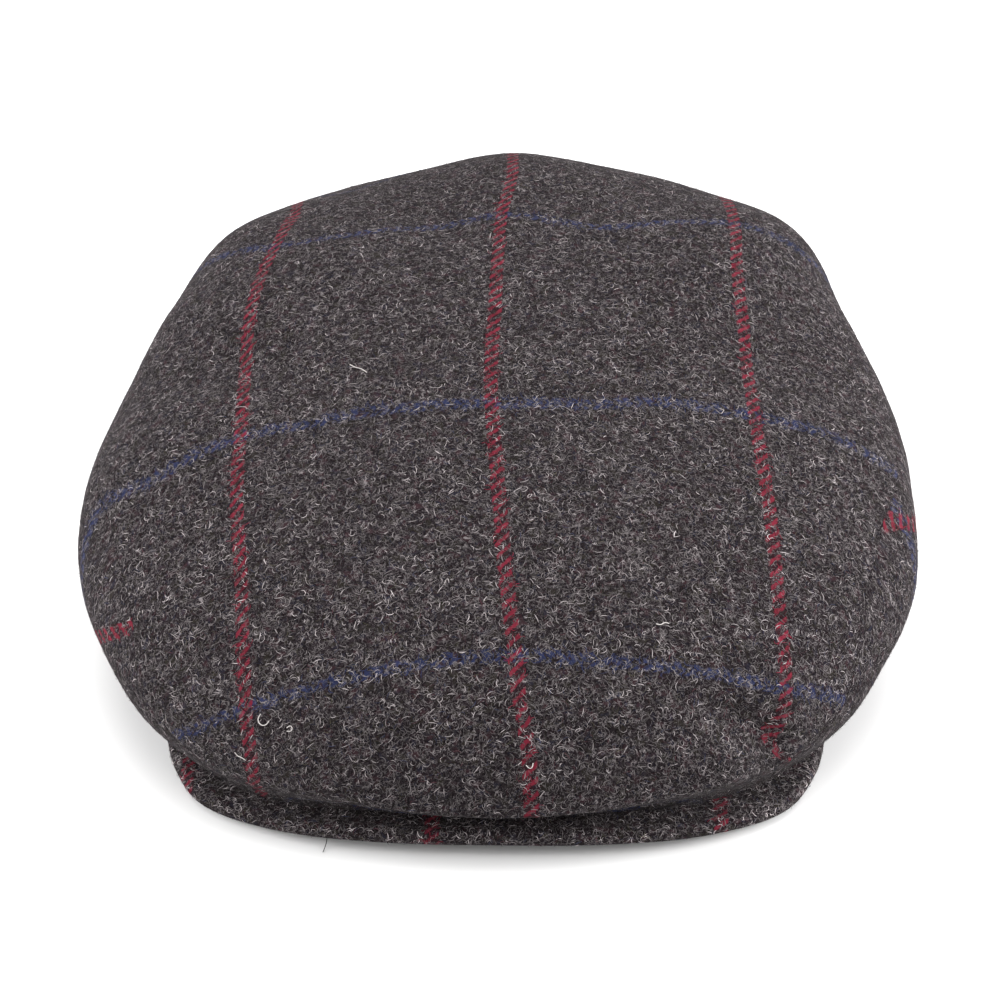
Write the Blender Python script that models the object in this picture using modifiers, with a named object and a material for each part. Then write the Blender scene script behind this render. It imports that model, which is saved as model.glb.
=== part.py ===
# Flat cap of wool cloth, filled out and standing on its rim and the corners of its peak.
# Metres, +Z up, the peak towards -Y, origin at the middle of the box's base.

import math

import bmesh
import bpy
import numpy as np

# Driving sizes
HALF_WIDTH = 0.120
DOME_HEIGHT = 0.085
CLOTH = 0.0022
GAP = 0.0003
RIM_STAND = 0.003
LEAN = 0.0037
LEAN_FROM_TO = (-0.042, 0.088)
SIDE_SHIFT = 0.0002
PEAK_HALF_WIDTH = 0.0936
PEAK_THICK = 0.005
PEAK_ARCH = 0.004
PEAK_TURN = 1.2

# The vertical line that the sections are turned about, and the height on it that the folds are pushed
# out from
POLE_Y = -0.0122
CORE_Z = 0.030

# Where the side panels start, where the peak ends, and where the panels' edge comes down off the
# peak, in degrees from the front
PANEL_START = 40.0
PEAK_END = 73.0
RIM_DOWN = (74.0, 83.0)

# Dome sections: degrees from the front, how far out the widest place is (share of HALF_WIDTH), how
# far up it is (share of DOME_HEIGHT), and how full the crown is above it (2 is an ellipse)
SECTIONS = (
    (0, 0.992, 0.245, 1.98),
    (30, 1.018, 0.300, 2.03),
    (60, 1.020, 0.370, 2.08),
    (75, 1.011, 0.416, 2.16),
    (90, 0.986, 0.465, 2.33),
    (120, 1.006, 0.526, 2.52),
    (135, 1.089, 0.558, 2.56),
    (150, 1.144, 0.487, 2.38),
    (180, 1.197, 0.487, 2.36),
)

# How much the dome is lowered towards the front and lifted towards the back: distance behind the
# pole, and the share of its height
LIFT = (
    (-0.130, 0.870),
    (-0.065, 0.899),
    (0.000, 1.000),
    (0.065, 1.179),
    (0.130, 1.350),
)

# Lower edge of the crown: degrees from the front, how far out (share of HALF_WIDTH), and how steeply
# the cloth leaves it (degrees from level)
LOWER_EDGE = (
    (0, 0.900, 72),
    (15, 0.912, 72),
    (30, 0.948, 72),
    (40, 0.956, 72),
    (48, 0.958, 72),
    (56, 0.940, 72),
    (65, 0.880, 72),
    (75, 0.822, 74),
    (84, 0.770, 86),
    (92, 0.760, 90),
    (104, 0.770, 90),
    (120, 0.830, 90),
    (150, 0.950, 90),
    (180, 1.000, 90),
)

# Seam between the top panel and the side panels: degrees from the front, and how far it is from the
# widest place to the top (as the climb below)
SEAM = (
    (0, 0.60),
    (36, 0.60),
    (40, 0.64),
    (45, 0.86),
    (50, 1.05),
    (56, 1.19),
    (64, 1.25),
    (74, 1.27),
    (84, 1.22),
    (100, 1.17),
    (120, 1.14),
    (150, 1.16),
    (180, 1.16),
)

# Peak: degrees from the front, and how far its outer edge and its inner edge are from the pole
PEAK = (
    (0, 0.1135, 0.082),
    (15, 0.1160, 0.083),
    (30, 0.1210, 0.086),
    (40, 0.1225, 0.088),
    (48, 0.1175, 0.087),
    (54, 0.1120, 0.084),
    (60, 0.1060, 0.081),
    (65, 0.1005, 0.078),
    (70, 0.0970, 0.075),
    (75, 0.0940, 0.073),
)

# Swells and dents: degrees from the front (left is negative) and up from the core, the spread in
# each direction, and how far the cloth is pushed out
FOLDS = (
    (-35, -8, 12, 14, 0.0015),
    (-52, 4, 12, 12, 0.0016),
    (-68, 12, 12, 12, 0.0007),
    (-84, 20, 12, 12, 0.0036),
    (84, 20, 12, 12, 0.0006),
    (-100, 26, 12, 12, -0.0034),
    (100, 26, 12, 12, -0.0024),
    (-116, 30, 12, 12, 0.0039),
    (-132, 33, 12, 12, 0.0018),
    (132, 33, 12, 12, 0.0043),
    (-148, 35, 12, 12, 0.0014),
    (148, 35, 12, 12, 0.0039),
    (-164, 36, 12, 12, -0.0037),
    (180, 36, 12, 12, 0.0038),
)

# Mesh steps, the ones beside the seam being this narrow, in degrees
FRONT_STEPS = 9
BACK_STEPS = 29
LOW_ROWS = 9
TOP_ROWS = 16
PEAK_STEPS = 44
SEAM_STEP = 1.2


def off_front(azimuth):
    """Degrees from the front, either side."""
    return np.abs((np.asarray(azimuth, float) + 180) % 360 - 180)


def between(rows, place):
    """The columns of a table at any place along its first one, in smooth curves through its rows."""
    table = np.array(rows, float)
    at, values = table[:, 0], table[:, 1:]
    place = np.clip(place, at[0], at[-1])
    slope = np.zeros_like(values)
    slope[1:-1] = (values[2:] - values[:-2]) / (at[2:] - at[:-2])[:, None]
    low = np.clip(np.searchsorted(at, place, side="right") - 1, 0, len(at) - 2)
    wide = at[low + 1] - at[low]
    s = (place - at[low]) / wide
    s, wide = s[..., None], wide[..., None]
    curve = (
        (2 * s**3 - 3 * s**2 + 1) * values[low]
        + (s**3 - 2 * s**2 + s) * wide * slope[low]
        + (3 * s**2 - 2 * s**3) * values[low + 1]
        + (s**3 - s**2) * wide * slope[low + 1]
    )
    return np.moveaxis(curve, -1, 0)


def ramp(value, start, end):
    """0 before start, 1 after end, smooth between."""
    s = np.clip((value - start) / (end - start), 0, 1)
    return s * s * (3 - 2 * s)


def arch(x):
    """Height of the peak's underside: off the floor in the middle, on it at the corners."""
    return PEAK_ARCH * np.clip(1 - (x / PEAK_HALF_WIDTH) ** 2, 0, 1) ** 1.5


def folded(points):
    """Points pushed out from the core by the swells and dents, the back leaning to the right."""
    away = points - np.array((0, POLE_Y, CORE_Z))
    level = np.hypot(away[..., 0], away[..., 1])
    far = np.linalg.norm(away, axis=-1)
    azimuth = np.degrees(np.arctan2(away[..., 0], -away[..., 1]))
    rise = np.degrees(np.arctan2(away[..., 2], level))
    push = np.zeros(far.shape)
    for at, up, spread, spread_up, amount in FOLDS:
        turn = (azimuth - at + 180) % 360 - 180
        push += amount * np.exp(-((turn / spread) ** 2) - ((rise - up) / spread_up) ** 2)
    push *= ramp(level, 0, 0.4 * HALF_WIDTH)
    away[..., 2] = np.maximum(away[..., 2], 0)
    moved = points + away * (push / far)[..., None]
    moved[..., 0] += LEAN * ramp(moved[..., 1], *LEAN_FROM_TO) - SIDE_SHIFT
    return moved


def crown(azimuth, climb):
    """Outer surface of the crown: climb is 0 at its lower edge, 1 at the widest place, 2 at the top."""
    out, up, full = between(SECTIONS, off_front(azimuth))
    edge, steep = between(LOWER_EDGE, off_front(azimuth))
    turn = np.radians(azimuth)
    out, up, edge = out * HALF_WIDTH, up * DOME_HEIGHT, edge * HALF_WIDTH
    on_peak = arch(edge * np.sin(turn)) + PEAK_THICK + GAP
    foot = on_peak * (1 - ramp(off_front(azimuth), *RIM_DOWN)) + RIM_STAND
    low = np.clip(climb, 0, 1)
    reach, rise = 0.35 * (up - foot), 0.45 * (up - foot)
    lean_out, lean_up = np.cos(np.radians(steep)) * reach, np.sin(np.radians(steep)) * reach
    weights = ((1 - low) ** 3, 3 * low * (1 - low) ** 2, 3 * low**2 * (1 - low), low**3)
    low_out = (
        weights[0] * edge + weights[1] * (edge + lean_out) + (weights[2] + weights[3]) * out
    )
    low_up = (
        weights[0] * foot
        + weights[1] * (foot + lean_up)
        + weights[2] * (up - rise)
        + weights[3] * up
    )
    high = np.clip(climb - 1, 0, 1) * math.pi / 2
    top_out = out * np.cos(high)
    top_up = up + (DOME_HEIGHT - up) * np.sin(high) ** (2 / full)
    radius = np.where(climb < 1, low_out, top_out)
    height = np.where(climb < 1, low_up, top_up)
    behind = -radius * np.cos(turn)
    height = foot + (height - foot) * between(LIFT, behind)[0]
    return folded(np.stack((radius * np.sin(turn), POLE_Y + behind, height), axis=-1))


def on_rim(rows):
    """Rows of points up from the lower edge, with one more below it: there the cloth stands upright."""
    return np.concatenate((rows[:1] - np.array((0, 0, RIM_STAND)), rows))


def piece(name, points, faces, colour):
    """One mesh object in the cap's collection, with a material of its own."""
    mesh = bpy.data.meshes.new(name)
    mesh.from_pydata([tuple(p) for p in points], [], faces)
    shape = bmesh.new()
    shape.from_mesh(mesh)
    loose = [corner for corner in shape.verts if not corner.link_faces]
    bmesh.ops.delete(shape, geom=loose, context="VERTS")
    shape.to_mesh(mesh)
    shape.free()
    obj = bpy.data.objects.new(name, mesh)
    cap.objects.link(obj)
    material = bpy.data.materials.new(name)
    material.use_nodes = True
    shader = material.node_tree.nodes["Principled BSDF"]
    shader.inputs["Base Color"].default_value = (*colour, 1)
    shader.inputs["Roughness"].default_value = 0.95
    shader.inputs["Metallic"].default_value = 0
    mesh.materials.append(material)
    return obj


def thicken(obj):
    """Gives an open sheet the thickness of the cloth, inwards."""
    solid = obj.modifiers.new("cloth", "SOLIDIFY")
    solid.thickness = CLOTH
    solid.offset = -1
    solid.use_even_offset = True


for old in list(bpy.data.objects):
    bpy.data.objects.remove(old)
cap = bpy.data.collections.new("flat_cap")
bpy.context.scene.collection.children.link(cap)

# Top panel: one cloth from the peak over the top, down to the seam at the sides and back
front = np.append(np.linspace(0, PANEL_START - SEAM_STEP, FRONT_STEPS), PANEL_START)
back = np.append(PANEL_START, np.linspace(PANEL_START + SEAM_STEP, 180, BACK_STEPS))
turns = np.concatenate((-front[::-1], front[1:], back[1:], -back[-2:0:-1]))
seam_climb = between(SEAM, off_front(turns))[0]
below = np.linspace(0, 1, LOW_ROWS + 1)[:-1, None] * seam_climb
above = seam_climb + np.linspace(0, 1, TOP_ROWS + 1)[:-1, None] * (2 - seam_climb)
climbs = np.concatenate((below, above))
count = len(turns)
grid = on_rim(crown(np.broadcast_to(turns, climbs.shape), climbs))
top = crown(np.array(0.0), np.array(2.0))
faces = []
for row in range(len(grid) - 1):
    for column in range(count):
        if row <= LOW_ROWS and column >= 2 * FRONT_STEPS:
            continue
        here, beside = row * count + column, row * count + (column + 1) % count
        faces.append((here, beside, beside + count, here + count))
last = (len(grid) - 1) * count
for column in range(count):
    faces.append((last + column, last + (column + 1) % count, last + count))
points = np.vstack((grid.reshape(-1, 3), top))
crown_top = piece("crown_top", points, faces, (0.055, 0.050, 0.052))
thicken(crown_top)

# Side panels: from the ends of the peak round to the seam at the middle of the back
for name, side in (("side_panel_left", -1), ("side_panel_right", 1)):
    turns = back.copy()
    turns[0] += math.degrees(2 * GAP / HALF_WIDTH)
    turns[-1] -= math.degrees(0.6 * GAP / HALF_WIDTH)
    seam_climb = between(SEAM, turns)[0]
    length_of_climb = 0.025 + 0.095 * ramp(seam_climb, 0.9, 1.1)
    seam_climb -= 4 * GAP / length_of_climb
    climbs = np.linspace(0, 1, LOW_ROWS + 1)[:, None] * seam_climb
    turns = side * turns
    grid = on_rim(crown(np.broadcast_to(turns, climbs.shape), climbs))
    count = len(turns)
    faces = []
    for row in range(len(grid) - 1):
        for column in range(count - 1):
            here = row * count + column
            face = (here, here + 1, here + 1 + count, here + count)
            faces.append(face[::side])
    panel = piece(name, grid.reshape(-1, 3), faces, (0.060, 0.055, 0.056))
    thicken(panel)

# Peak: a stiff board covered in cloth, arched across, its outer edge rounded
stations = np.linspace(-PEAK_END, PEAK_END, PEAK_STEPS + 1)
edge, root = between(PEAK, off_front(stations))
half = PEAK_THICK / 2
rounding = np.radians(np.linspace(-90, 90, 7))
inward = np.concatenate((np.linspace(0, 1, 5)[:-1], np.ones(7), np.linspace(1, 0, 5)[1:]))
swing = np.concatenate((np.zeros(4), half * np.cos(rounding), np.zeros(4)))
level = np.concatenate((np.zeros(4), half + half * np.sin(rounding), np.full(4, PEAK_THICK)))
radius = root[:, None] + inward * (edge - half - root)[:, None] + swing
turn = np.radians(stations - PEAK_TURN)[:, None]
x = radius * np.sin(turn)
y = POLE_Y - radius * np.cos(turn)
ring = len(inward)
points = np.stack((x, y, arch(x) + level), axis=-1).reshape(-1, 3)
faces = []
for station in range(PEAK_STEPS):
    for corner in range(ring):
        here, beside = station * ring + corner, station * ring + (corner + 1) % ring
        faces.append((here, here + ring, beside + ring, beside))
faces.append(tuple(range(ring)))
faces.append(tuple(range(PEAK_STEPS * ring + ring - 1, PEAK_STEPS * ring - 1, -1)))
peak = piece("peak", points, faces, (0.052, 0.047, 0.049))
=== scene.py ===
# Flat cap of charcoal tweed with a thin red and blue check, filled out and standing on a pale floor.
# Metres, +Z up, the peak towards -Y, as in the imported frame.

import math

import bpy
import numpy as np
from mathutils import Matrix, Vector, noise
from mathutils.bvhtree import BVHTree


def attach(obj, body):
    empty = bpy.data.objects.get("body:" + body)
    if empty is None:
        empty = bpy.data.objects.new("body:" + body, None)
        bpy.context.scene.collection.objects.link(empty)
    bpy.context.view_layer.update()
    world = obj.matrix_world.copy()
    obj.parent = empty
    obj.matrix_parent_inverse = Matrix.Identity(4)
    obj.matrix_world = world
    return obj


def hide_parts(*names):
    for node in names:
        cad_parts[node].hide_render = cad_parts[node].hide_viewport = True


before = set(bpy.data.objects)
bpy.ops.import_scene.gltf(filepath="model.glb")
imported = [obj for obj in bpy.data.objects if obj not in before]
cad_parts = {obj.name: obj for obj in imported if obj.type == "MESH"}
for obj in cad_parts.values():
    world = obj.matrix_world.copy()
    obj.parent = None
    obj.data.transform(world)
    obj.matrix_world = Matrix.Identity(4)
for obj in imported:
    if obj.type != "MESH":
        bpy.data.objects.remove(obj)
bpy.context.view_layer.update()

# Camera: close to the cap, straight in front of its peak and looking down on it
CAMERA_AIM = Vector((0.0, -0.01345, 0.040))
CAMERA_OFF = 0.80
CAMERA_RISE = math.radians(33)
FRAME_WIDTH = 0.2883
SENSOR = 36.0

camera_data = bpy.data.cameras.new("camera")
camera_data.sensor_width = SENSOR
camera_data.lens = SENSOR * CAMERA_OFF / FRAME_WIDTH
camera = bpy.data.objects.new("camera", camera_data)
bpy.context.scene.collection.objects.link(camera)
towards = Vector((0, -math.cos(CAMERA_RISE), math.sin(CAMERA_RISE)))
camera.location = CAMERA_AIM + CAMERA_OFF * towards
camera.rotation_euler = (math.pi / 2 - CAMERA_RISE, 0, 0)
bpy.context.scene.camera = camera

# Light: a white room, a wide soft light above the cap, and one on each side
ROOM_LIGHT = 1.0
LIGHTS = {
    # place, width, watts
    "light_above": ((0.0, 0.20, 1.5), 1.3, 27.0),
    "light_left": ((-1.3, -0.15, 0.45), 0.9, 38.0),
    "light_right": ((1.3, -0.15, 0.45), 0.9, 50.0),
}

world = bpy.data.worlds.new("white_room")
world.use_nodes = True
world.node_tree.nodes["Background"].inputs["Color"].default_value = (1.0, 0.99, 0.985, 1)
world.node_tree.nodes["Background"].inputs["Strength"].default_value = ROOM_LIGHT
bpy.context.scene.world = world
for name, (place, width, watts) in LIGHTS.items():
    lamp = bpy.data.lights.new(name, "AREA")
    lamp.shape = "SQUARE"
    lamp.size = width
    lamp.energy = watts
    light = bpy.data.objects.new(name, lamp)
    bpy.context.scene.collection.objects.link(light)
    light.location = place
    light.rotation_euler = (CAMERA_AIM - light.location).to_track_quat("-Z", "Y").to_euler()
bpy.context.scene.view_settings.view_transform = "Standard"

# Floor: one plain white sheet of studio paper
FLOOR_SIZE = 8.0
FLOOR_WHITE = 0.62

bpy.ops.object.select_all(action="DESELECT")
bpy.ops.mesh.primitive_plane_add(size=FLOOR_SIZE)
floor = bpy.context.object
floor.name = "floor"
paper = bpy.data.materials.new("white_paper")
paper.use_nodes = True
paper_shader = paper.node_tree.nodes["Principled BSDF"]
paper_shader.inputs["Base Color"].default_value = (FLOOR_WHITE, FLOOR_WHITE, FLOOR_WHITE, 1)
paper_shader.inputs["Roughness"].default_value = 0.9
paper_shader.inputs["Specular IOR Level"].default_value = 0.1
floor.data.materials.append(paper)

# Top panel: one cut of soft tweed, eased over the peak and sewn to the side panels. It carries the
# check, red lines front to back and blue ones side to side.
HALF_WIDTH = 0.120
DOME_HEIGHT = 0.085
CLOTH = 0.0022
TURNED_EDGE = 0.0003
# The lowest strip of cloth stands upright, and above the peak its edge is turned under
RIM_STAND = 0.003
TURN_UNDER = 0.0015
# The back of the dome leans to the right, between these places front to back
LEAN = 0.0037
LEAN_FROM_TO = (-0.042, 0.088)
SIDE_SHIFT = 0.0002
PEAK_HALF_WIDTH = 0.0936
PEAK_THICK = 0.005
PEAK_ARCH = 0.004
PEAK_GAP = 0.0003
# The upright line that all degrees turn about, and the height that swells are pushed out from
POLE_Y = -0.0122
CORE_Z = 0.030
# Degrees from the front where the side panels start, and where the lower edge comes down off the peak
PANEL_START = 40.0
RIM_DOWN = (74.0, 83.0)
# The wall below the widest place leaves its edge at its slope and ends upright, each for this share
# of its height
WALL_OUT = 0.48
WALL_UPRIGHT = 0.34
# Degrees from the front, how far out the widest place is (share of HALF_WIDTH), how far up it is
# (share of DOME_HEIGHT), and how full the crown is above it (2 is an ellipse)
SECTIONS = (
    (0, 0.992, 0.245, 1.98),
    (30, 1.018, 0.300, 2.03),
    (60, 1.020, 0.370, 2.08),
    (75, 1.011, 0.416, 2.16),
    (90, 0.986, 0.465, 2.33),
    (120, 1.006, 0.526, 2.52),
    (135, 1.089, 0.558, 2.56),
    (150, 1.144, 0.487, 2.38),
    (180, 1.197, 0.487, 2.36),
)
# Metres behind the pole, and how much the dome is lifted there (share of its height)
LIFT = (
    (-0.130, 0.870),
    (-0.065, 0.899),
    (0.000, 1.000),
    (0.065, 1.179),
    (0.130, 1.350),
)
# Degrees from the front, how far out the lower edge is (share of HALF_WIDTH), degrees from level
LOWER_EDGE = (
    (0, 0.900, 50),
    (15, 0.912, 50),
    (30, 0.948, 50),
    (40, 0.956, 50),
    (48, 0.958, 50),
    (56, 0.940, 50),
    (65, 0.880, 58),
    (75, 0.822, 74),
    (84, 0.770, 86),
    (92, 0.760, 90),
    (104, 0.770, 90),
    (120, 0.830, 90),
    (150, 0.950, 90),
    (180, 1.000, 90),
)
# Degrees from the front, the seam's climb (1 is the widest place, 2 the top)
SEAM = (
    (0, 0.60),
    (36, 0.60),
    (40, 0.64),
    (45, 0.86),
    (50, 1.05),
    (56, 1.19),
    (64, 1.25),
    (74, 1.27),
    (84, 1.22),
    (100, 1.17),
    (120, 1.14),
    (150, 1.16),
    (180, 1.16),
)
# How far from the pole swells and dents reach their full depth
FULL_PUSH = 0.4 * HALF_WIDTH
# Swells and dents: degrees from the front and up from the core, the spread in each direction, and
# how far the cloth is pushed out
FOLDS = (
    (-35, -8, 12, 14, 0.0015),
    (-52, 4, 12, 12, 0.0016),
    (-68, 12, 12, 12, 0.0007),
    (-84, 20, 12, 12, 0.0036),
    (84, 20, 12, 12, 0.0006),
    (-100, 26, 12, 12, -0.0034),
    (100, 26, 12, 12, -0.0024),
    (-116, 30, 12, 12, 0.0039),
    (-132, 33, 12, 12, 0.0018),
    (132, 33, 12, 12, 0.0043),
    (-148, 35, 12, 12, 0.0014),
    (148, 35, 12, 12, 0.0039),
    (-164, 36, 12, 12, -0.0037),
    (180, 36, 12, 12, 0.0038),
)
# Slack of the cloth: how wide its slow waves are, and how deep, in full above this height
SLACK = ((0.034, 0.0006), (0.013, 0.0002))
SLACK_FROM_TO = (0.0, 0.02)
# Small tucks, as the folds: above the peak on the right, then near the back
TUCKS = (
    (28.5, 4.8, 3.0, 2.2, -0.0020),
    (31.5, 3.0, 3.0, 2.4, -0.0034),
    (34.5, 0.4, 3.0, 2.6, -0.0038),
    (36.0, -3.0, 3.0, 3.0, -0.0022),
    (28.0, -3.0, 5.0, 3.0, 0.0012),
    (39.0, 6.0, 4.0, 5.0, 0.0012),
    (-143.5, 31.4, 3.0, 5.0, -0.0014),
    (-149.5, 32.6, 3.5, 5.0, 0.0009),
    (170.5, 37.7, 3.5, 5.0, -0.0014),
    (163.5, 34.2, 3.5, 5.0, 0.0009),
)
# Red lines of the check: metres back along the cloth, and how far each line is to the right there
RED_LINES = (
    (-0.130, -0.0650, 0.0083, 0.0870),
    (-0.110, -0.0655, 0.0075, 0.0835),
    (-0.100, -0.0665, 0.0060, 0.0745),
    (-0.094, -0.0675, 0.0050, 0.0765),
    (-0.080, -0.0680, 0.0037, 0.0770),
    (-0.055, -0.0693, 0.0012, 0.0750),
    (-0.030, -0.0715, -0.0004, 0.0738),
    (-0.010, -0.0720, -0.0017, 0.0725),
    (0.010, -0.0727, -0.0028, 0.0714),
    (0.040, -0.0743, -0.0026, 0.0694),
    (0.065, -0.0726, -0.0028, 0.0678),
    (0.085, -0.0692, -0.0026, 0.0678),
    (0.115, -0.0678, 0.0005, 0.0665),
)
# Blue lines: metres to the right along the cloth, and how far back each line is there, the first one
# being the short ones that show just above the peak
BLUE_LINES = (
    (-0.120, -0.150, -0.0960, -0.0095, 0.0920),
    (-0.098, -0.150, -0.0950, -0.0108, 0.0900),
    (-0.083, -0.150, -0.0942, -0.0060, 0.0850),
    (-0.070, -0.140, -0.0915, -0.0030, 0.0800),
    (-0.054, -0.127, -0.0906, -0.0026, 0.0800),
    (-0.031, -0.138, -0.0875, -0.0008, 0.0850),
    (0.000, -0.150, -0.0842, 0.0000, 0.0866),
    (0.028, -0.141, -0.0850, 0.0014, 0.0826),
    (0.048, -0.129, -0.0850, 0.0050, 0.0860),
    (0.073, -0.140, -0.0833, 0.0052, 0.0895),
    (0.092, -0.150, -0.0808, 0.0063, 0.0895),
    (0.115, -0.150, -0.0790, 0.0055, 0.0890),
)
CLOTH_MIDDLE_Y = -0.029
# The climbs at which the cloth's length is measured on from the dome down to the lower edge. It goes
# on straight down where the front or back faces by more than these shares.
CLOTH_EDGE_CLIMBS = (1.20, 1.05, 0.90, 0.60, 0.30, 0.00, -1.00)
STRAIGHT_DOWN = (0.35, 0.75)
# Steps in which the cloth's length is measured over the dome, and how far out
PLAN_STEP = 0.001
PLAN_REACH = 0.16
# Cells of the cloth: round the front, round each side to the back, below the seam and above it
FRONT_COLUMNS = 96
BACK_COLUMNS = 128
LOW_ROWS = 34
TOP_ROWS = 66


def between(rows, at):
    """The columns of a table at any value of its first one, in smooth curves through its rows."""
    table = np.array(rows, float)
    keys, values = table[:, 0], table[:, 1:]
    slope = np.zeros_like(values)
    slope[1:-1] = (values[2:] - values[:-2]) / (keys[2:] - keys[:-2])[:, None]
    at = np.clip(at, keys[0], keys[-1])
    low = np.clip(np.searchsorted(keys, at, side="right") - 1, 0, len(keys) - 2)
    wide = keys[low + 1] - keys[low]
    s = ((at - keys[low]) / wide)[..., None]
    wide = wide[..., None]
    curve = (
        (2 * s**3 - 3 * s**2 + 1) * values[low]
        + (s**3 - 2 * s**2 + s) * wide * slope[low]
        + (3 * s**2 - 2 * s**3) * values[low + 1]
        + (s**3 - s**2) * wide * slope[low + 1]
    )
    return np.moveaxis(curve, -1, 0)


def ramp(value, start, end):
    """0 before start, 1 after end, smooth between."""
    s = np.clip((value - start) / (end - start), 0, 1)
    return s * s * (3 - 2 * s)


def arch(x):
    """Height of the peak's underside: off the floor in the middle, on it at the corners."""
    return PEAK_ARCH * np.clip(1 - (x / PEAK_HALF_WIDTH) ** 2, 0, 1) ** 1.5


def pushed(points, folds):
    """Points pushed away from the core by swells and dents."""
    away = points - np.array((0, POLE_Y, CORE_Z))
    level = np.hypot(away[..., 0], away[..., 1])
    far = np.linalg.norm(away, axis=-1)
    azimuth = np.degrees(np.arctan2(away[..., 0], -away[..., 1]))
    rise = np.degrees(np.arctan2(away[..., 2], level))
    push = np.zeros(far.shape)
    for at, up, spread, spread_up, amount in folds:
        turn = (azimuth - at + 180) % 360 - 180
        push += amount * np.exp(-((turn / spread) ** 2) - ((rise - up) / spread_up) ** 2)
    push *= ramp(level, 0, FULL_PUSH)
    away[..., 2] = np.maximum(away[..., 2], 0)
    return points + away * (push / far)[..., None]


def crown(azimuth, climb):
    """Outer surface of the crown: climb is -1 at its lower edge, 0 where the cloth stops standing
    upright, 1 at the widest place and 2 at the top."""
    out, up, full = between(SECTIONS, np.abs(azimuth))
    edge, steep = between(LOWER_EDGE, np.abs(azimuth))
    turn = np.radians(azimuth)
    out, up, edge = out * HALF_WIDTH, up * DOME_HEIGHT, edge * HALF_WIDTH
    on_peak = arch(edge * np.sin(turn)) + PEAK_THICK + PEAK_GAP
    foot = on_peak * (1 - ramp(np.abs(azimuth), *RIM_DOWN)) + RIM_STAND
    low = np.clip(climb, 0, 1)
    reach, rise = WALL_OUT * (up - foot), WALL_UPRIGHT * (up - foot)
    lean_out, lean_up = np.cos(np.radians(steep)) * reach, np.sin(np.radians(steep)) * reach
    weights = ((1 - low) ** 3, 3 * low * (1 - low) ** 2, 3 * low**2 * (1 - low), low**3)
    low_out = (
        weights[0] * edge + weights[1] * (edge + lean_out) + (weights[2] + weights[3]) * out
    )
    low_up = (
        weights[0] * foot
        + weights[1] * (foot + lean_up)
        + weights[2] * (up - rise)
        + weights[3] * up
    )
    high = np.clip(climb - 1, 0, 1) * math.pi / 2
    top_up = up + (DOME_HEIGHT - up) * np.sin(high) ** (2 / full)
    radius = np.where(climb < 1, low_out, out * np.cos(high))
    height = np.where(climb < 1, low_up, top_up)
    behind = -radius * np.cos(turn)
    height = foot + (height - foot) * between(LIFT, behind)[0]
    points = np.stack((radius * np.sin(turn), POLE_Y + behind, height), axis=-1)
    points = pushed(points, FOLDS)
    points[..., 0] += LEAN * ramp(points[..., 1], *LEAN_FROM_TO) - SIDE_SHIFT
    points[..., 2] -= RIM_STAND * np.clip(-climb, 0, 1)
    under = TURN_UNDER * np.clip(-climb, 0, 1) * (1 - ramp(np.abs(azimuth), *RIM_DOWN))
    points[..., 0] -= under * np.sin(turn)
    points[..., 1] += under * np.cos(turn)
    return points


def plan_lengths():
    """For each place on the crown's plan, how far it lies along the cloth to the right of the middle,
    and how far back from CLOTH_MIDDLE_Y."""
    steps = np.arange(-PLAN_REACH, PLAN_REACH + PLAN_STEP / 2, PLAN_STEP)
    y, x = np.meshgrid(steps, steps, indexing="ij")
    azimuth = np.degrees(np.arctan2(x, POLE_Y - y))
    out = between(SECTIONS, np.abs(azimuth))[0] * HALF_WIDTH
    share = np.clip(np.hypot(x, y - POLE_Y) / out, 0, 1)
    points = crown(azimuth, 1 + np.arccos(share) * 2 / math.pi)
    right = np.zeros(x.shape)
    right[:, 1:] = np.cumsum(np.linalg.norm(np.diff(points, axis=1), axis=2), axis=1)
    back = np.zeros(x.shape)
    back[1:] = np.cumsum(np.linalg.norm(np.diff(points, axis=0), axis=2), axis=0)
    middle = len(steps) // 2
    row = middle + round(CLOTH_MIDDLE_Y / PLAN_STEP)
    return right - right[:, middle : middle + 1], back - back[row : row + 1]


def on_plan(lengths, x, y):
    """One of the two tables of plan_lengths, read between its steps."""
    column, row = (x + PLAN_REACH) / PLAN_STEP, (y + PLAN_REACH) / PLAN_STEP
    left, low = np.floor(column).astype(int), np.floor(row).astype(int)
    s, t = column - left, row - low
    near = lengths[low, left] * (1 - s) + lengths[low, left + 1] * s
    far = lengths[low + 1, left] * (1 - s) + lengths[low + 1, left + 1] * s
    return near * (1 - t) + far * t


def top_cloth(azimuth, climb):
    """Where each point of the top panel lies on the flat cloth, to the right and back, in metres. Below
    the dome the cloth goes on straight down in front, and straight out at the sides."""
    turn = np.radians(azimuth)
    start = np.maximum(climb, CLOTH_EDGE_CLIMBS[0])
    radius = between(SECTIONS, np.abs(azimuth))[0] * HALF_WIDTH * np.cos((start - 1) * math.pi / 2)
    x, y = radius * np.sin(turn), POLE_Y - radius * np.cos(turn)
    right, back = [on_plan(lengths, x, y) for lengths in plan_lengths()]
    straight = ramp(np.abs(np.cos(turn)), *STRAIGHT_DOWN)
    from_point = crown(azimuth, start)
    for high, low in zip(CLOTH_EDGE_CLIMBS[:-1], CLOTH_EDGE_CLIMBS[1:]):
        reached = crown(azimuth, np.clip(climb, low, high))
        to_point = np.where((climb < high)[..., None], reached, from_point)
        dx, dy, dz = np.moveaxis(to_point - from_point, -1, 0)
        right += straight * dx + (1 - straight) * np.sign(turn) * np.hypot(dx, dz)
        back -= straight * np.sign(np.cos(turn)) * np.hypot(dy, dz) - (1 - straight) * dy
        from_point = to_point
    return np.stack((right, back), axis=-1)


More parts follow.
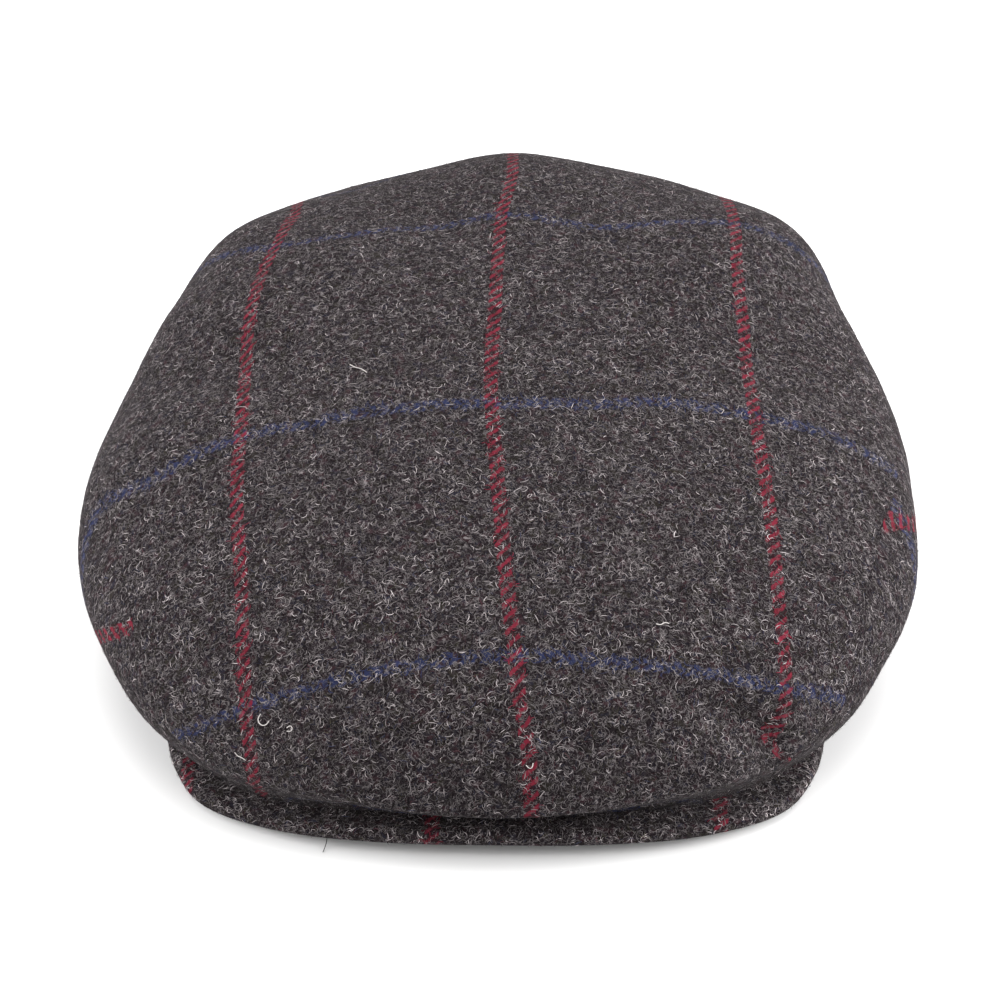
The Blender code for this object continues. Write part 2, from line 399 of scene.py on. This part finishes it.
def line_count(place, lines):
    """How many lines of the check a place is past, counted from the middle one of the lines given."""
    count = np.full(place.shape, -(len(lines) // 2), float)
    for near, far in zip(lines[:-1], lines[1:]):
        count += np.clip((place - near) / (far - near), 0, 1)
    gap = lines[1] - lines[0]
    return count + np.minimum(place - lines[0], 0) / gap + np.maximum(place - lines[-1], 0) / gap


def top_check(cloth):
    """How many red and blue lines each place on the cloth of the top panel is past."""
    red = line_count(cloth[:, 0], between(RED_LINES, cloth[:, 1]))
    blue = line_count(cloth[:, 1], between(BLUE_LINES, cloth[:, 0]))
    return np.stack((red, blue), axis=-1)


def cloth_grid(name, columns, rows):
    """A flat sheet of cloth in so many cells each way, one metre each way from its middle."""
    bpy.ops.object.select_all(action="DESELECT")
    bpy.ops.mesh.primitive_grid_add(x_subdivisions=columns, y_subdivisions=rows, size=2)
    sheet = bpy.context.object
    sheet.name = name
    for old in list(sheet.data.uv_layers):
        sheet.data.uv_layers.remove(old)
    return sheet


def cut_away(sheet, unwanted):
    """Removes the faces whose middle is unwanted, by how far across and up the flat sheet it is."""
    for face in sheet.data.polygons:
        face.select = unwanted((face.center.x + 1) / 2, (face.center.y + 1) / 2)
    bpy.context.tool_settings.mesh_select_mode = (False, False, True)
    bpy.ops.object.mode_set(mode="EDIT")
    bpy.ops.mesh.delete(type="FACE")
    bpy.ops.object.mode_set(mode="OBJECT")


def sheet_places(sheet):
    """How far across and up the flat sheet each of its corners is, from 0 to 1."""
    flat = np.empty(len(sheet.data.vertices) * 3)
    sheet.data.vertices.foreach_get("co", flat)
    return (flat.reshape(-1, 3)[:, :2].T + 1) / 2


def set_points(sheet, points):
    """Moves each corner of a sheet to its place on the cap."""
    sheet.data.vertices.foreach_set("co", np.asarray(points, float).ravel())
    sheet.data.update()


def slack(points):
    """Each point pushed off the core by the slow waves of soft cloth and by the small tucks."""
    away = points - np.array((0, POLE_Y, CORE_Z))
    away /= np.linalg.norm(away, axis=-1)[:, None]
    push = np.zeros(len(points))
    for wide, deep in SLACK:
        waves = [noise.noise(Vector(point) / wide) for point in points]
        push += deep * np.array(waves)
    push *= ramp(points[:, 2], *SLACK_FROM_TO)
    return pushed(points + away * push[:, None], TUCKS)


def lay_cloth(sheet, cloth, check):
    """Writes two UV maps: each corner's place on the flat cloth, in metres with the red lines along its
    second number, and how many red and blue lines it is past."""
    corners = np.empty(len(sheet.data.loops), int)
    sheet.data.loops.foreach_get("vertex_index", corners)
    for name, places in (("cloth", cloth), ("check", check)):
        layer = sheet.data.uv_layers.new(name=name)
        layer.data.foreach_set("uv", places[corners].ravel())


def finish_cloth(sheet):
    """Closes the wrap and the pole, gives the cloth its thickness inwards and rounds its cut edges."""
    bpy.ops.object.mode_set(mode="EDIT")
    bpy.ops.mesh.select_all(action="SELECT")
    bpy.ops.mesh.remove_doubles(threshold=1e-6)
    bpy.ops.object.mode_set(mode="OBJECT")
    wall = sheet.modifiers.new("wall", "SOLIDIFY")
    wall.thickness = CLOTH
    wall.offset = -1
    bpy.ops.object.modifier_apply(modifier="wall")
    edge = sheet.modifiers.new("turned_edge", "BEVEL")
    edge.width = TURNED_EDGE
    edge.segments = 3
    edge.limit_method = "ANGLE"
    edge.angle_limit = math.radians(50)
    bpy.ops.object.modifier_apply(modifier="turned_edge")
    bpy.ops.object.shade_smooth()


def carried(piece, node):
    """Puts a piece in the place of its CAD node. The whole cap is one body."""
    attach(piece, "root")
    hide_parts(node)


def dressed(piece, node):
    """Gives a piece its cloth, and puts it in its place."""
    piece.data.materials.clear()
    piece.data.materials.append(tweed)
    carried(piece, node)


def feed(socket, value):
    """Sets a socket to a value, or links another node's output to it."""
    if isinstance(value, bpy.types.NodeSocket):
        cloth_links.new(value, socket)
    else:
        socket.default_value = value


def wire(kind, settings=None, **inputs):
    """One node of the tweed, with its settings, and what feeds its inputs, by name or number."""
    made = cloth_nodes.new(kind)
    for name, value in (settings or {}).items():
        setattr(made, name, value)
    for name, value in inputs.items():
        label = name.replace("_", " ").strip()
        feed(made.inputs[int(label) if label.isdigit() else label], value)
    return made


def sums(operation, *values):
    """A Math node's result."""
    made = wire("ShaderNodeMath", {"operation": operation})
    for socket, value in zip(made.inputs, values):
        feed(socket, value)
    return made.outputs[0]


def band(value, full, none):
    """1 where the value is at full, 0 where it is at none or past it, smooth between."""
    smooth = {"interpolation_type": "SMOOTHSTEP"}
    return wire("ShaderNodeMapRange", smooth, Value=value, From_Min=none, From_Max=full).outputs[0]


def clouds(place, scale, detail=1.0, roughness=0.5, distortion=0.0):
    """Soft noise from 0 to 1, with so many lumps in a metre."""
    made = wire(
        "ShaderNodeTexNoise",
        Vector=place,
        Scale=scale,
        Detail=detail,
        Roughness=roughness,
        Distortion=distortion,
    )
    return made.outputs["Fac"]


def tint(factor, under, over):
    """Colour over laid on colour under, by the factor."""
    made = wire("ShaderNodeMix", {"data_type": "RGBA"})
    for number, value in zip((0, 6, 7), (factor, under, over)):
        feed(made.inputs[number], value)
    return made.outputs[2]


def curls(scale, layer, thin, share):
    """Short curled fibres: thin level lines of a distorted noise, broken up by another. The layer sets
    them apart from the others."""
    moved = wire("ShaderNodeVectorMath", {"operation": "ADD"}, _0=cloth_uv, _1=(0.37 * layer, 0.61, 0))
    drawn = clouds(moved.outputs[0], scale, 1.0, 0.5, 0.8)
    off_line = sums("ABSOLUTE", sums("SUBTRACT", drawn, 0.5))
    line = band(off_line, 0.3 * thin, thin)
    cut = 0.5 + 0.2 * (0.5 - share)
    broken = band(clouds(moved.outputs[0], 0.9 * scale, 1.0), cut + 0.03, cut - 0.03)
    return sums("MULTIPLY", line, broken)


# Colours of the wool, linear
GROUND = (0.0044, 0.0030, 0.0036, 1)
LIGHT_WOOL = (0.130, 0.117, 0.119, 1)
GREY_WOOL = (0.022, 0.018, 0.020, 1)
PALE_GREY_WOOL = (0.040, 0.035, 0.036, 1)
MAROON_WOOL = (0.022, 0.010, 0.012, 1)
OLIVE_WOOL = (0.020, 0.018, 0.013, 1)
NAVY_WOOL = (0.011, 0.012, 0.021, 1)
RED_YARN = (0.105, 0.0100, 0.0190, 1)
DARK_RED_YARN = (0.022, 0.0050, 0.0075, 1)
BLUE_YARN = (0.014, 0.018, 0.046, 1)
# The check: how far apart its lines are, how wide, and the length of cloth to each red dash and each
# blue dab. The yarns wobble a little.
RED_SPACING = 0.072
BLUE_SPACING = 0.085
RED_HALF_WIDTH = 0.00195
RED_DASH = 0.0038
RED_DASH_LEAN = 1.0
BLUE_HALF_WIDTH = 0.0021
BLUE_DAB = 0.0028
WOBBLE = 0.0014

tweed = bpy.data.materials.new("charcoal_tweed")
tweed.use_nodes = True
cloth_nodes = tweed.node_tree.nodes
cloth_links = tweed.node_tree.links
cloth_shader = cloth_nodes["Principled BSDF"]
cloth_uv = wire("ShaderNodeUVMap", {"uv_map": "cloth"}).outputs[0]
check_uv = wire("ShaderNodeUVMap", {"uv_map": "check"}).outputs[0]

# The ground: grey, maroon, olive and navy wool carded together, in patches that are lighter or darker
grain = clouds(cloth_uv, 1900, 2.0, 0.75)
colour = tint(band(grain, 0.72, 0.44), GROUND, GREY_WOOL)
mixed_in = clouds(cloth_uv, 300, 1.0)
colour = tint(sums("MULTIPLY", band(mixed_in, 0.68, 0.58), 0.45), colour, MAROON_WOOL)
colour = tint(sums("MULTIPLY", band(mixed_in, 0.34, 0.42), 0.40), colour, OLIVE_WOOL)
other_mixed_in = clouds(cloth_uv, 370, 1.0, 0.5, 0.4)
colour = tint(sums("MULTIPLY", band(other_mixed_in, 0.70, 0.60), 0.35), colour, NAVY_WOOL)
fine = curls(820, 1, 0.040, 0.60)
wide_curls = curls(430, 2, 0.022, 0.45)
colour = tint(sums("MULTIPLY", curls(560, 3, 0.045, 0.60), 0.60), colour, GREY_WOOL)

# The check: how far each point is from the nearest red line and the nearest blue one, in metres
wobble = sums("MULTIPLY", sums("SUBTRACT", clouds(cloth_uv, 480, 1.0), 0.5), WOBBLE)
across_cloth, along_cloth = wire("ShaderNodeSeparateXYZ", Vector=cloth_uv).outputs[:2]
reds_past, blues_past = wire("ShaderNodeSeparateXYZ", Vector=check_uv).outputs[:2]
red_count = sums("SUBTRACT", reds_past, sums("ROUND", reds_past))
blue_count = sums("SUBTRACT", blues_past, sums("ROUND", blues_past))
off_red = sums("ADD", sums("MULTIPLY", red_count, RED_SPACING), sums("MULTIPLY", wobble, 0.4))
off_blue = sums("ADD", sums("MULTIPLY", blue_count, BLUE_SPACING), wobble)
red_line = band(sums("ABSOLUTE", off_red), 0.82 * RED_HALF_WIDTH, 1.12 * RED_HALF_WIDTH)
blue_line = band(sums("ABSOLUTE", off_blue), 0.70 * BLUE_HALF_WIDTH, 1.25 * BLUE_HALF_WIDTH)
# Red dashes lean across their line, and blue dabs point both ways from the middle of theirs
dash = sums("ADD", sums("ADD", along_cloth, wobble), sums("MULTIPLY", off_red, -RED_DASH_LEAN))
dash = sums("PINGPONG", sums("DIVIDE", dash, RED_DASH / 2), 1.0)
pinch = sums("MULTIPLY", band(sums("ABSOLUTE", off_red), 0.0, 0.0006), 0.16)
red_dash = sums("MULTIPLY", red_line, band(sums("ADD", dash, pinch), 0.28, 0.54))
dab = sums("ADD", sums("ADD", across_cloth, wobble), sums("MULTIPLY", sums("ABSOLUTE", off_blue), 0.8))
dab = band(sums("PINGPONG", sums("DIVIDE", dab, BLUE_DAB / 2), 1.0), 0.40, 0.75)
worn = band(clouds(cloth_uv, 420, 1.0, 0.5, 0.3), 0.48, 0.40)
blue_dab = sums("MULTIPLY", blue_line, sums("MULTIPLY", dab, worn))
colour = tint(sums("MULTIPLY", red_line, 0.20), colour, DARK_RED_YARN)
colour = tint(sums("MULTIPLY", blue_dab, 0.75), colour, BLUE_YARN)
colour = tint(sums("MULTIPLY", red_dash, 0.80), colour, RED_YARN)

# The lightest fibres lie over all of it, and fewer over the red
light_share = sums("SUBTRACT", 1.0, sums("MULTIPLY", red_dash, 0.70))
colour = tint(sums("MULTIPLY", fine, sums("MULTIPLY", light_share, 0.50)), colour, LIGHT_WOOL)
colour = tint(sums("MULTIPLY", wide_curls, sums("MULTIPLY", light_share, 0.70)), colour, LIGHT_WOOL)
shade = wire(
    "ShaderNodeMapRange",
    Value=clouds(cloth_uv, 150, 3.0, 0.65),
    From_Min=0.3,
    From_Max=0.7,
    To_Min=0.68,
    To_Max=1.32,
).outputs[0]
colour = wire("ShaderNodeVectorMath", {"operation": "SCALE"}, _0=colour, Scale=shade).outputs[0]
cloth_links.new(colour, cloth_shader.inputs["Base Color"])

# The curls and the grain stand up from the cloth
raised = sums("ADD", sums("MULTIPLY", fine, 0.6), sums("ADD", wide_curls, sums("MULTIPLY", grain, 0.8)))
fuzz = wire("ShaderNodeBump", Height=raised, Strength=0.5, Distance=0.0003)
cloth_links.new(fuzz.outputs[0], cloth_shader.inputs["Normal"])
cloth_shader.inputs["Roughness"].default_value = 0.95
cloth_shader.inputs["Specular IOR Level"].default_value = 0.02
cloth_shader.inputs["Sheen Weight"].default_value = 0.02
cloth_shader.inputs["Sheen Roughness"].default_value = 0.5
cloth_shader.inputs["Sheen Tint"].default_value = (0.9, 0.87, 0.88, 1)

top_columns = FRONT_COLUMNS + 2 * BACK_COLUMNS
rows = LOW_ROWS + TOP_ROWS
front_start, front_end = BACK_COLUMNS / top_columns, 1 - BACK_COLUMNS / top_columns
seam_row = LOW_ROWS / rows
stand_row = 1 / rows
crown_top = cloth_grid("tweed_top", top_columns, rows)
cut_away(
    crown_top,
    lambda across, up: up < seam_row and not front_start < across < front_end,
)
across, up = sheet_places(crown_top)
azimuth = np.interp(
    across, (0, front_start, front_end, 1), (-180, -PANEL_START, PANEL_START, 180)
)
seam_climb = between(SEAM, np.abs(azimuth))[0]
below = np.clip((up - stand_row) / (seam_row - stand_row), 0, 1) * seam_climb
above = seam_climb + (up - seam_row) / (1 - seam_row) * (2 - seam_climb)
climb = np.where(up < seam_row, below, above) - np.clip(1 - up / stand_row, 0, 1)
cloth = top_cloth(azimuth, climb)
lay_cloth(crown_top, cloth, top_check(cloth))
set_points(crown_top, slack(crown(azimuth, climb)))
finish_cloth(crown_top)
dressed(crown_top, "crown_top")


# Loose wool of the top panel: short curled ends of its fibres, standing a little off the cloth. They
# have worked out of the brushed yarns, are held by the cloth, and carry the colours of its check.
NAP_PER_AREA = 1.3e6
NAP_WIDTH = (0.00010, 0.00019)
NAP_LENGTH = (0.0009, 0.0027)
NAP_CURL = 3.4
NAP_LIFT = 0.0004
NAP_STEPS = 3
# How much of its full width an end has at its tips, and between them
TIP_SHARE, MIDDLE_SHARE = 0.2, 0.5
# An end's brightness: at least, how much more at most, and how much the patches change it
NAP_SHADE = (0.33, 1.75)
PATCH_WIDTH = 0.0045
PATCH_DEPTH = 0.7
# How much of a dash is red, and the tones that keep the ground's colour on each kind of line
DASH_SHARE = 0.42
BARE_ON_RED, BARE_ON_BLUE = 0.35, 0.45
BACK_SHARE = 0.78
NAP_TONES = (
    # share of the ends up to this tone, colour
    (0.42, LIGHT_WOOL),
    (0.76, PALE_GREY_WOOL),
    (0.84, MAROON_WOOL),
    (0.92, OLIVE_WOOL),
    (1.00, NAVY_WOOL),
)
rng = np.random.default_rng(11)


def outer_places(sheet, amount, wanted):
    """Random places spread evenly over a piece's faces, those wanted by middle and normal, with the
    normals and both UV maps there."""
    mesh = sheet.data
    mesh.calc_loop_triangles()
    count = len(mesh.loop_triangles)
    corners, loops = np.empty(count * 3, int), np.empty(count * 3, int)
    mesh.loop_triangles.foreach_get("vertices", corners)
    mesh.loop_triangles.foreach_get("loops", loops)
    points = np.empty(len(mesh.vertices) * 3)
    mesh.vertices.foreach_get("co", points)
    points = points.reshape(-1, 3)[corners.reshape(-1, 3)]
    laid = np.empty((2, len(mesh.loops) * 2))
    for kept, name in zip(laid, ("check", "cloth")):
        mesh.uv_layers[name].data.foreach_get("uv", kept)
    laid = np.concatenate(laid.reshape(2, -1, 2), axis=1)[loops.reshape(-1, 3)]
    normals = np.cross(points[:, 1] - points[:, 0], points[:, 2] - points[:, 0])
    area = np.linalg.norm(normals, axis=1) / 2
    normals /= np.maximum(2 * area, 1e-12)[:, None]
    area *= wanted(points.mean(axis=1), normals)
    picked = rng.choice(count, round(amount * area.sum()), p=area / area.sum())
    share = rng.random((len(picked), 2))
    share = np.where(share.sum(axis=1, keepdims=True) > 1, 1 - share, share)
    share = np.column_stack((1 - share.sum(axis=1), share))[..., None]
    places = (points[picked] * share).sum(axis=1)
    return places, normals[picked], (laid[picked] * share).sum(axis=1)


def nap(name, sheet, amount, wanted, painted_light=1.0):
    """Loose wool on a piece: narrow curled ribbons, each with its colour, lightened as painted light by
    the last argument.
    """
    places, normals, laid = outer_places(sheet, amount, wanted)
    count = len(places)
    heading = rng.normal(size=(count, 3))
    heading -= (heading * normals).sum(axis=1)[:, None] * normals
    heading /= np.linalg.norm(heading, axis=1)[:, None]
    length = rng.uniform(*NAP_LENGTH, count)
    wide = rng.uniform(*NAP_WIDTH, count)
    curl = rng.uniform(-NAP_CURL, NAP_CURL, count) / NAP_STEPS
    lift = NAP_LIFT * rng.random(count) ** 3
    rows = []
    at = places
    skin = BVHTree.FromObject(sheet, bpy.context.evaluated_depsgraph_get())
    for step in range(NAP_STEPS + 1):
        nearest = [skin.find_nearest(Vector(place)) for place in at]
        at = np.array([found[0] for found in nearest])
        normals = np.array([found[1] for found in nearest])
        heading -= (heading * normals).sum(axis=1)[:, None] * normals
        heading /= np.linalg.norm(heading, axis=1)[:, None]
        share = MIDDLE_SHARE if 0 < step < NAP_STEPS else TIP_SHARE
        aside = np.cross(normals, heading) * (wide * share)[:, None]
        raised = at + normals * (NAP_WIDTH[0] + lift * step / NAP_STEPS)[:, None]
        rows += [raised - aside, raised + aside]
        at = at + heading * (length / NAP_STEPS)[:, None]
        turned = np.cross(normals, heading)
        heading = heading * np.cos(curl)[:, None] + turned * np.sin(curl)[:, None]
    points = np.stack(rows, axis=1)
    step = 2 * np.arange(NAP_STEPS)[:, None] + np.array((0, 2, 3, 1))
    faces = (np.arange(count) * len(rows))[:, None, None] + step
    wool = bpy.data.meshes.new(name)
    wool.from_pydata(points.reshape(-1, 3).tolist(), [], faces.reshape(-1, 4).tolist())
    tone = rng.random(count)
    shades = np.array([colour[:3] for share, colour in NAP_TONES])
    colours = shades[np.searchsorted([share for share, colour in NAP_TONES], tone)]
    check, along = laid[:, :2], laid[:, 3]
    off_red, off_blue = ((check - np.round(check)) * (RED_SPACING, BLUE_SPACING)).T
    phase = (along - RED_DASH_LEAN * off_red) / (RED_DASH / 2)
    on_dash = np.abs((phase + 1) % 2 - 1) < DASH_SHARE
    on_red = (np.abs(off_red) < RED_HALF_WIDTH) & (tone > BARE_ON_RED)
    on_blue = (np.abs(off_blue) < BLUE_HALF_WIDTH) & (tone > BARE_ON_BLUE)
    patches = np.array([noise.noise(Vector(place) / PATCH_WIDTH) for place in places])
    shade = NAP_SHADE[0] + NAP_SHADE[1] * rng.random(count) ** 3
    colours = colours * shade[:, None] * (1 + PATCH_DEPTH * patches)[:, None]
    # Painted light: the ends' colours are lightened where their piece lies in less light
    colours *= painted_light
    colours[on_blue] = BLUE_YARN[:3]
    colours[on_red] = DARK_RED_YARN[:3]
    colours[on_red & on_dash] = RED_YARN[:3]
    colours = np.column_stack((colours, np.ones(count)))
    layer = wool.color_attributes.new("wool", "FLOAT_COLOR", "POINT")
    layer.data.foreach_set("color", np.repeat(colours, len(rows), axis=0).ravel())
    piece = bpy.data.objects.new(name, wool)
    bpy.context.scene.collection.objects.link(piece)
    wool.materials.append(loose_wool)
    return piece


loose_wool = bpy.data.materials.new("loose_wool")
loose_wool.use_nodes = True
wool_nodes = loose_wool.node_tree.nodes
wool_shader = wool_nodes["Principled BSDF"]
wool_colour = wool_nodes.new("ShaderNodeVertexColor")
wool_colour.layer_name = "wool"
loose_wool.node_tree.links.new(wool_colour.outputs[0], wool_shader.inputs["Base Color"])
wool_shader.inputs["Roughness"].default_value = 0.9
wool_shader.inputs["Specular IOR Level"].default_value = 0.05


def off_core(middles, normals):
    """Which faces look away from the core, the wearer's head."""
    return ((middles - np.array((0, POLE_Y, CORE_Z))) * normals).sum(axis=1) > 0


# The front, which shows most, is in two pieces
for name, share, start, end, side in (
    ("nap_top_front_left", 1.0, -1, 0, -1),
    ("nap_top_front_right", 1.0, -1, 0, 1),
    ("nap_top_back", BACK_SHARE, 0, 1, 0),
):
    laid_on = nap(
        name,
        crown_top,
        share * NAP_PER_AREA,
        lambda m, n: off_core(m, n) & (m[:, 1] >= start) & (m[:, 1] < end) & (m[:, 0] * side >= 0),
    )
    carried(laid_on, "crown_top")

# Side panels: two lower bands of the same tweed, from the ends of the peak round to a seam at the
# middle of the back, sewn to the top panel above. Each is cut as a curved band, with the red lines of
# its check along it. It is too narrow for more than one of them.
SEAM_GAP = 0.0003
BACK_SEAM_SHARE = 0.6
PANEL_COLUMNS = 128
# Length of cloth to one climb, below the widest place and above it
CLIMB_LENGTH = (0.025, 0.120)
# Radius that the band is cut to, and degrees from the front of the place where it is level
BAND_RADIUS = 0.164
BAND_MIDDLE = 120.0
# How far up the band its red line goes before it runs level
RED_LEVEL = 0.029
SIDE_NAP_SHARE = 0.7
SIDE_PANELS = (
    # name, side, then degrees from the front and climb of two places on its red line, and on a blue one
    ("side_panel_left", -1, ((55.0, 1.19), (63.5, 1.00)), ((75.0, 1.17), (73.0, 1.08))),
    ("side_panel_right", 1, ((73.0, 1.26), (84.5, 1.05)), ((76.0, 1.19), (74.0, 1.10))),
)


def band_place(around, climb, side):
    """Where a point of a side panel lies on the flat cloth: across the band, and along it."""
    rim = crown(side * around, np.full(np.shape(around), -1.0))
    above_rim = np.linalg.norm(crown(side * around, climb) - rim, axis=-1)
    turned = HALF_WIDTH * np.radians(around - BAND_MIDDLE) / BAND_RADIUS
    across_red = (BAND_RADIUS + above_rim) * np.cos(turned) - BAND_RADIUS
    return np.stack((across_red, (BAND_RADIUS + above_rim) * np.sin(turned)), axis=-1)


def line_ends(ends, side):
    """Two places of a line, on the flat cloth."""
    return (band_place(np.array(around), np.array(climb), side) for around, climb in ends)


def off_red_line(cloth, ends, side):
    """How far places on the flat cloth are above a red line, which rises and then runs level."""
    start, end = line_ends(ends, side)
    rise = (end[0] - start[0]) / (end[1] - start[1])
    line = start[0] + rise * (cloth[..., 1] - start[1])
    return cloth[..., 0] - np.minimum(line, RED_LEVEL)


def off_blue_line(cloth, ends, side):
    """How far places on the flat cloth are from the straight line through two places."""
    start, end = line_ends(ends, side)
    along, up = (end - start) / np.linalg.norm(end - start)
    return (cloth - start) @ (up, -along)


for name, side, red_ends, blue_ends in SIDE_PANELS:
    panel = cloth_grid(name.replace("panel", "tweed"), PANEL_COLUMNS, LOW_ROWS)
    across, up = sheet_places(panel)
    first = PANEL_START + math.degrees(SEAM_GAP / HALF_WIDTH)
    last = 180 - math.degrees(BACK_SEAM_SHARE * SEAM_GAP / HALF_WIDTH)
    around = first + (last - first) * (across if side == 1 else 1 - across)
    seam_climb = between(SEAM, around)[0]
    seam_climb -= SEAM_GAP / np.interp(ramp(seam_climb, 0.9, 1.1), (0, 1), CLIMB_LENGTH)
    climb = np.clip((up - 1 / LOW_ROWS) / (1 - 1 / LOW_ROWS), 0, 1) * seam_climb
    climb -= np.clip(1 - up * LOW_ROWS, 0, 1)
    cloth = band_place(around, climb, side)
    red_count = np.maximum(off_red_line(cloth, red_ends, side) / RED_SPACING, -0.5)
    blue_count = off_blue_line(cloth, blue_ends, side) / BLUE_SPACING
    check = np.stack((red_count, blue_count), axis=-1)
    lay_cloth(panel, cloth, check)
    set_points(panel, slack(crown(side * around, climb)))
    finish_cloth(panel)
    dressed(panel, name)
    loose = nap(name.replace("side_panel", "nap_side"), panel, SIDE_NAP_SHARE * NAP_PER_AREA, off_core)
    carried(loose, name)

# Peak: a short stiff board, covered above and below in the same tweed, its outer edge rounded. It is
# sewn in under the front of the top panel.
PEAK_END = 73.0
PEAK_TURN = 1.2
PEAK_COLUMNS = 150
PEAK_RINGS = 48
# Degrees from the front, outer edge and inner edge
PEAK_EDGES = (
    (0, 0.1135, 0.082),
    (15, 0.1160, 0.083),
    (30, 0.1210, 0.086),
    (40, 0.1225, 0.088),
    (48, 0.1175, 0.087),
    (54, 0.1120, 0.084),
    (60, 0.1060, 0.081),
    (65, 0.1005, 0.078),
    (70, 0.0970, 0.075),
    (75, 0.0940, 0.073),
)
# Where its red lines are, to the right of the middle, and how far in front of the middle of the frame
# its blue line is, hidden under the crown
PEAK_RED_LINES = (-0.0845, -0.0180, 0.0585)
PEAK_BLUE_FRONT = 0.060
# Share of the sheet in its flat underside, as in its flat top
FLAT_SHARE = 0.36
# Painted light on its wool, which lies in less light than the crown's; only the part that shows has any
PEAK_NAP_PAINTED_LIGHT = 1.75
PEAK_NAP_BACK = -0.05

peak = cloth_grid("tweed_peak", PEAK_COLUMNS, PEAK_RINGS)
across, up = sheet_places(peak)
station = PEAK_END * (2 * across - 1)
edge, root = between(PEAK_EDGES, np.abs(station))
half = PEAK_THICK / 2
# Up the sheet: out along the underside, round the edge, and back in along the top
rounding = np.pi * (np.clip((up - FLAT_SHARE) / (1 - 2 * FLAT_SHARE), 0, 1) - 0.5)
under = np.clip(up / FLAT_SHARE, 0, 1)
over = np.clip((1 - up) / FLAT_SHARE, 0, 1)
inward = np.minimum(under, over)
radius = root + inward * (edge - half - root) + half * np.cos(rounding)
level = half + half * np.sin(rounding)
turn = np.radians(station - PEAK_TURN)
x, y = radius * np.sin(turn), POLE_Y - radius * np.cos(turn)
points = np.stack((x, y, arch(x) + level), axis=-1)
cloth = np.stack((x, y + level), axis=-1)
check = np.stack((line_count(x, PEAK_RED_LINES), (y + PEAK_BLUE_FRONT) / BLUE_SPACING), axis=-1)
lay_cloth(peak, cloth, check)
set_points(peak, points)
bpy.context.tool_settings.mesh_select_mode = (True, False, False)
bpy.ops.object.mode_set(mode="EDIT")
bpy.ops.mesh.select_all(action="DESELECT")
bpy.ops.mesh.select_non_manifold()
bpy.ops.mesh.edge_face_add()
bpy.ops.mesh.select_all(action="SELECT")
bpy.ops.mesh.normals_make_consistent(inside=False)
bpy.ops.object.mode_set(mode="OBJECT")
bpy.ops.object.shade_smooth()
dressed(peak, "peak")
loose = nap(
    "nap_peak",
    peak,
    NAP_PER_AREA,
    lambda m, n: (m[:, 1] < PEAK_NAP_BACK) & (n[:, 2] > -0.5),
    PEAK_NAP_PAINTED_LIGHT,
)
carried(loose, "peak")

# Stray wool: a few longer pale hairs that have worked out of the cloth, and one dark end of thread
# under the peak. Each lies where its pixels of the photograph meet the cloth.
PALE_WOOL = (0.34, 0.32, 0.31, 1)
DARK_WOOL = (0.010, 0.007, 0.008, 1)
PIXELS = 1000
STRAY_LIFT = 0.0002
STRAYS = (
    # name, carrier, node, colour, half thickness, pixels
    ("stray_curl_left", crown_top, "crown_top", PALE_WOOL, 0.00013,
     ((261, 714), (258, 718), (259, 723), (263, 726), (268, 724), (269, 721))),
    ("stray_hair_left", crown_top, "crown_top", PALE_WOOL, 0.00012,
     ((235, 752), (238, 756), (242, 757), (246, 760))),
    ("stray_ring", crown_top, "crown_top", PALE_WOOL, 0.00012,
     ((287, 728), (290, 725), (293, 728), (291, 732), (287, 731))),
    ("stray_curl_middle", crown_top, "crown_top", PALE_WOOL, 0.00012,
     ((526, 765), (529, 769), (533, 767), (533, 763))),
    ("stray_hair_top", crown_top, "crown_top", PALE_WOOL, 0.00012,
     ((350, 365), (355, 368), (362, 369), (367, 373))),
    ("stray_fleck_right", crown_top, "crown_top", PALE_WOOL, 0.00014,
     ((656, 624), (660, 626), (665, 622), (669, 624))),
    ("loose_thread", peak, "peak", DARK_WOOL, 0.00010,
     ((328, 830), (327, 838), (326, 845), (323, 852))),
)


def under_pixel(carrier, x, y):
    """The point of the carrier, or of the floor below it, that the camera sees at a pixel."""
    across, down = (x / PIXELS - 0.5) * FRAME_WIDTH, (y / PIXELS - 0.5) * FRAME_WIDTH
    line = camera.rotation_euler.to_matrix() @ Vector((across, -down, -CAMERA_OFF))
    met, point, normal, _ = carrier.ray_cast(camera.location, line)
    if met:
        return point + STRAY_LIFT * normal
    return camera.location + line * ((STRAY_LIFT - camera.location.z) / line.z)


for name, carrier, node, colour, half_thick, pixels in STRAYS:
    path = bpy.data.curves.new(name, "CURVE")
    path.dimensions = "3D"
    path.bevel_depth = half_thick
    path.bevel_resolution = 1
    path.use_fill_caps = True
    path.resolution_u = 4
    spline = path.splines.new("NURBS")
    spline.points.add(len(pixels) - 1)
    spline.order_u = 3
    spline.use_endpoint_u = True
    for point, pixel in zip(spline.points, pixels):
        point.co = (*under_pixel(carrier, *pixel), 1)
    hair = bpy.data.objects.new(name, path)
    bpy.context.scene.collection.objects.link(hair)
    bpy.ops.object.select_all(action="DESELECT")
    hair.select_set(True)
    bpy.context.view_layer.objects.active = hair
    bpy.ops.object.convert(target="MESH")
    layer = hair.data.color_attributes.new("wool", "FLOAT_COLOR", "POINT")
    layer.data.foreach_set("color", np.tile(colour, len(hair.data.vertices)))
    hair.data.materials.clear()
    hair.data.materials.append(loose_wool)
    carried(hair, node)
